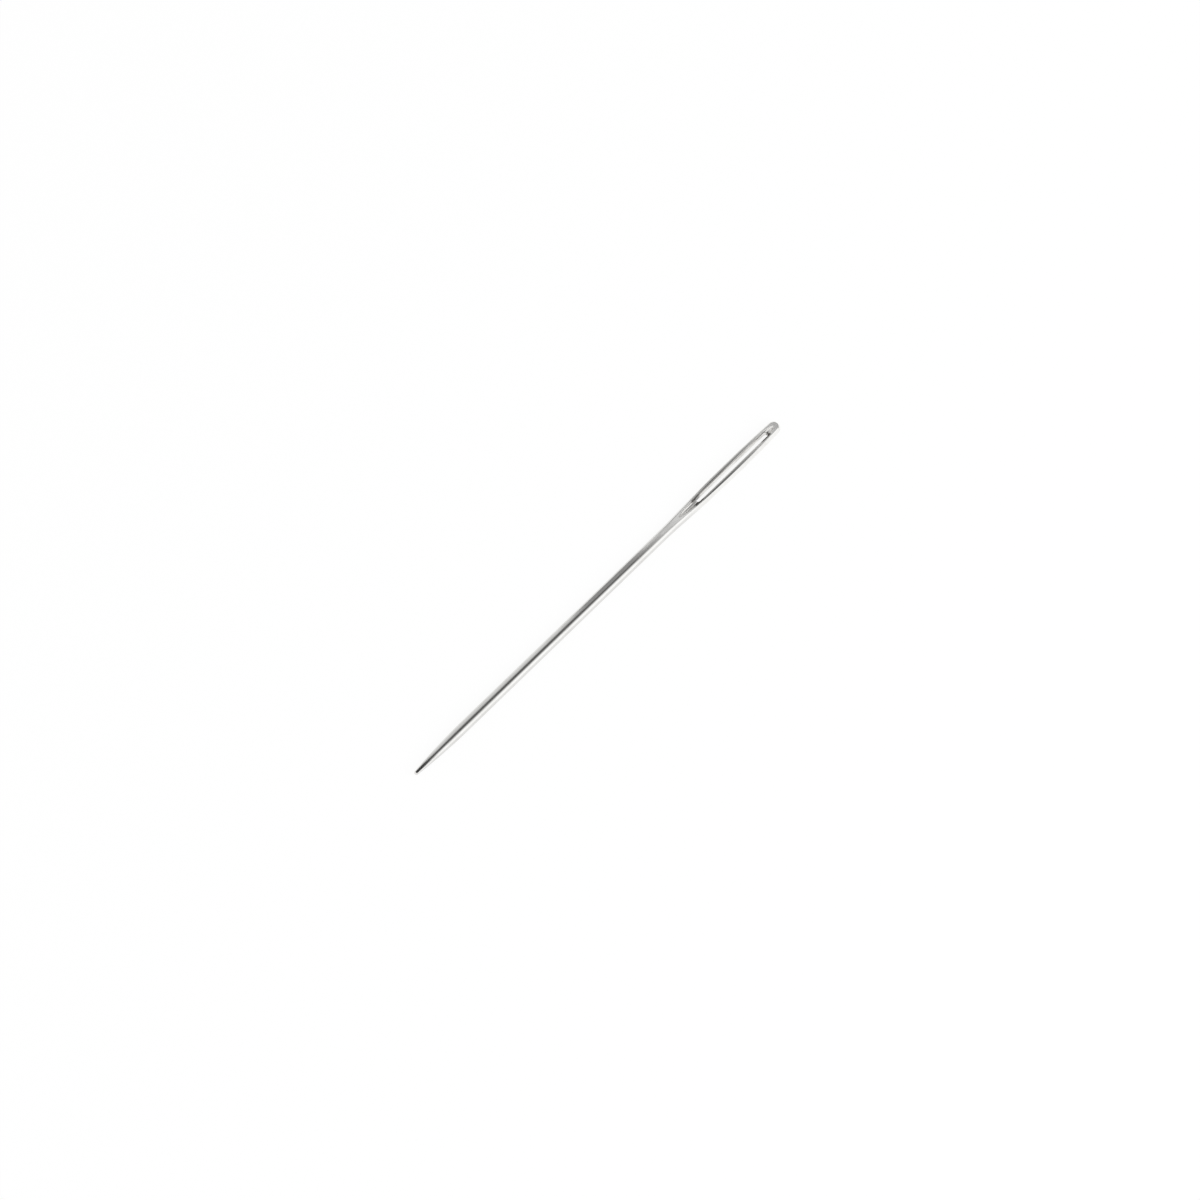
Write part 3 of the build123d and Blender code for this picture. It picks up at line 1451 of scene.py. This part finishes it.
@dataclass(frozen=True)
class Table:
    """The plain white table top.

    Attributes:
        width: Width of the table top, in metres.
        colour: Its colour.
        glow: Brightness of the white that the camera sees.
        steel_glow: Brightness of the white that the shank shows, and that the eye shows.
        brighten: Places along X where the second brightness starts, and where it is full.
        glow_share: How much of what they see is that white; the rest keeps the shadow.
        squares: Faces along each of its sides.
    """

    width: float = 6.0
    colour: Colour = (0.8, 0.8, 0.8)
    glow: float = 1.06
    steel_glow: Span = (0.94, 1.13)
    brighten: Span = (0.016, 0.021)
    glow_share: float = 0.85
    squares: int = 8

    def build(self) -> Object:
        """Make the table top and mark it as stage."""
        bm = bmesh.new()
        count = self.squares
        bmesh.ops.create_grid(bm, x_segments=count, y_segments=count, size=self.width / 2)
        table = stand_mesh("table_top", bm)
        table.data.materials.append(self._material())
        table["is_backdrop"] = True
        return table

    def _material(self) -> Material:
        """Make the table's matt white, which keeps the needle's shadow."""
        material, nodes, out = plain_material("white_table")
        paint = nodes.add("ShaderNodeBsdfDiffuse")
        nodes.join(self.colour, paint.inputs["Color"])
        glow = nodes.add("ShaderNodeEmission")
        path = nodes.add("ShaderNodeLightPath")
        along = nodes.split(nodes.add("ShaderNodeTexCoord").outputs["Object"])["X"]
        steel_glow = nodes.blend(nodes.ease(along, self.brighten), *self.steel_glow)
        strength = nodes.blend(path.outputs["Is Camera Ray"], steel_glow, self.glow)
        nodes.join(strength, glow.inputs["Strength"])
        seen = nodes.math("MAXIMUM", path.outputs["Is Camera Ray"], path.outputs["Is Glossy Ray"])
        both = nodes.add("ShaderNodeMixShader")
        nodes.join(nodes.product(seen, self.glow_share), both.inputs[0])
        nodes.join(paint.outputs[0], both.inputs[1])
        nodes.join(glow.outputs[0], both.inputs[2])
        nodes.join(both.outputs[0], out)
        return material


@dataclass(frozen=True)
class Softbox:
    """A large soft lamp beside the needle.

    Attributes:
        place: Where it stands, in metres.
        width: Its width, in metres.
        power: Its power, in watts.
    """

    place: Place = (0.1, -0.5, 0.42)
    width: float = 0.5
    power: float = 1.2

    def build(self) -> Object:
        """Make the lamp, turned to the needle."""
        lamp = bpy.data.lights.new("softbox", "AREA")
        lamp.shape = "SQUARE"
        lamp.size = self.width
        lamp.energy = self.power
        held = stand("softbox", lamp)
        held.location = self.place
        held.rotation_euler = (-held.location).to_track_quat("-Z", "Y").to_euler()
        held.visible_glossy = False
        return held


@dataclass(frozen=True)
class PhotoCamera:
    """The camera, as the photograph's stood: well above the needle's point, with a long lens.

    Attributes:
        azimuth: Direction of the camera round the needle, in degrees.
        elevation: Its height above the table, in degrees.
        frame_width: Width of the view at the needle, in metres.
        lens: Focal length, in millimetres.
        sensor: Width of the camera's own frame, in millimetres.
        clip: Least and greatest distance that it sees, in metres.
        aside: How far the view's middle lies right of and above the needle's, in metres.
    """

    azimuth: float = -46.16
    elevation: float = 68.0
    frame_width: float = 0.1602
    lens: float = 200.0
    sensor: float = 36.0
    clip: Span = (0.01, 20.0)
    aside: Span = (0.0002, -0.00039)

    def build(self, middle: Vector) -> Object:
        """Make the camera and look at the needle.

        Args:
            middle: The needle's middle.

        Returns:
            The scene's camera.
        """
        data = bpy.data.cameras.new("photo_camera")
        data.lens, data.sensor_width = self.lens, self.sensor
        data.clip_start, data.clip_end = self.clip
        camera = stand("photo_camera", data)
        turn, tilt = math.radians(self.azimuth), math.radians(self.elevation)
        level = math.cos(tilt)
        back = Vector((math.sin(turn) * level, -math.cos(turn) * level, math.sin(tilt)))
        held = (-back).to_track_quat("-Z", "Y")
        right, up = held @ Vector((1.0, 0.0, 0.0)), held @ Vector((0.0, 1.0, 0.0))
        target = middle + right * self.aside[0] + up * self.aside[1]
        camera.location = target + back * (self.frame_width * self.lens / self.sensor)
        camera.rotation_euler = held.to_euler()
        bpy.context.scene.camera = camera
        return camera


def dress_needle() -> Object:
    """Make the needle's piece, give it its finishes and put it in the CAD node's stead."""
    needle = NeedleForm().build()
    for finish in FINISHES:
        needle.data.materials.append(PlatedSteel(finish).material())
    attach(needle, "root")
    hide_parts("needle")
    LOG.info("%s: %d faces", needle.name, len(needle.data.polygons))
    return needle


def main() -> None:
    """Build the needle and its surroundings."""
    logging.basicConfig(level=logging.INFO, format="%(name)s: %(message)s")
    low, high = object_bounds()
    dress_needle()
    Table().build()
    Tent().build()
    Softbox().build()
    for card in CARDS:
        card.build()
    scene = bpy.context.scene
    scene.view_settings.view_transform = "Standard"
    PhotoCamera().build((low + high) / 2)
    low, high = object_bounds()


if __name__ == "__main__":
    main()
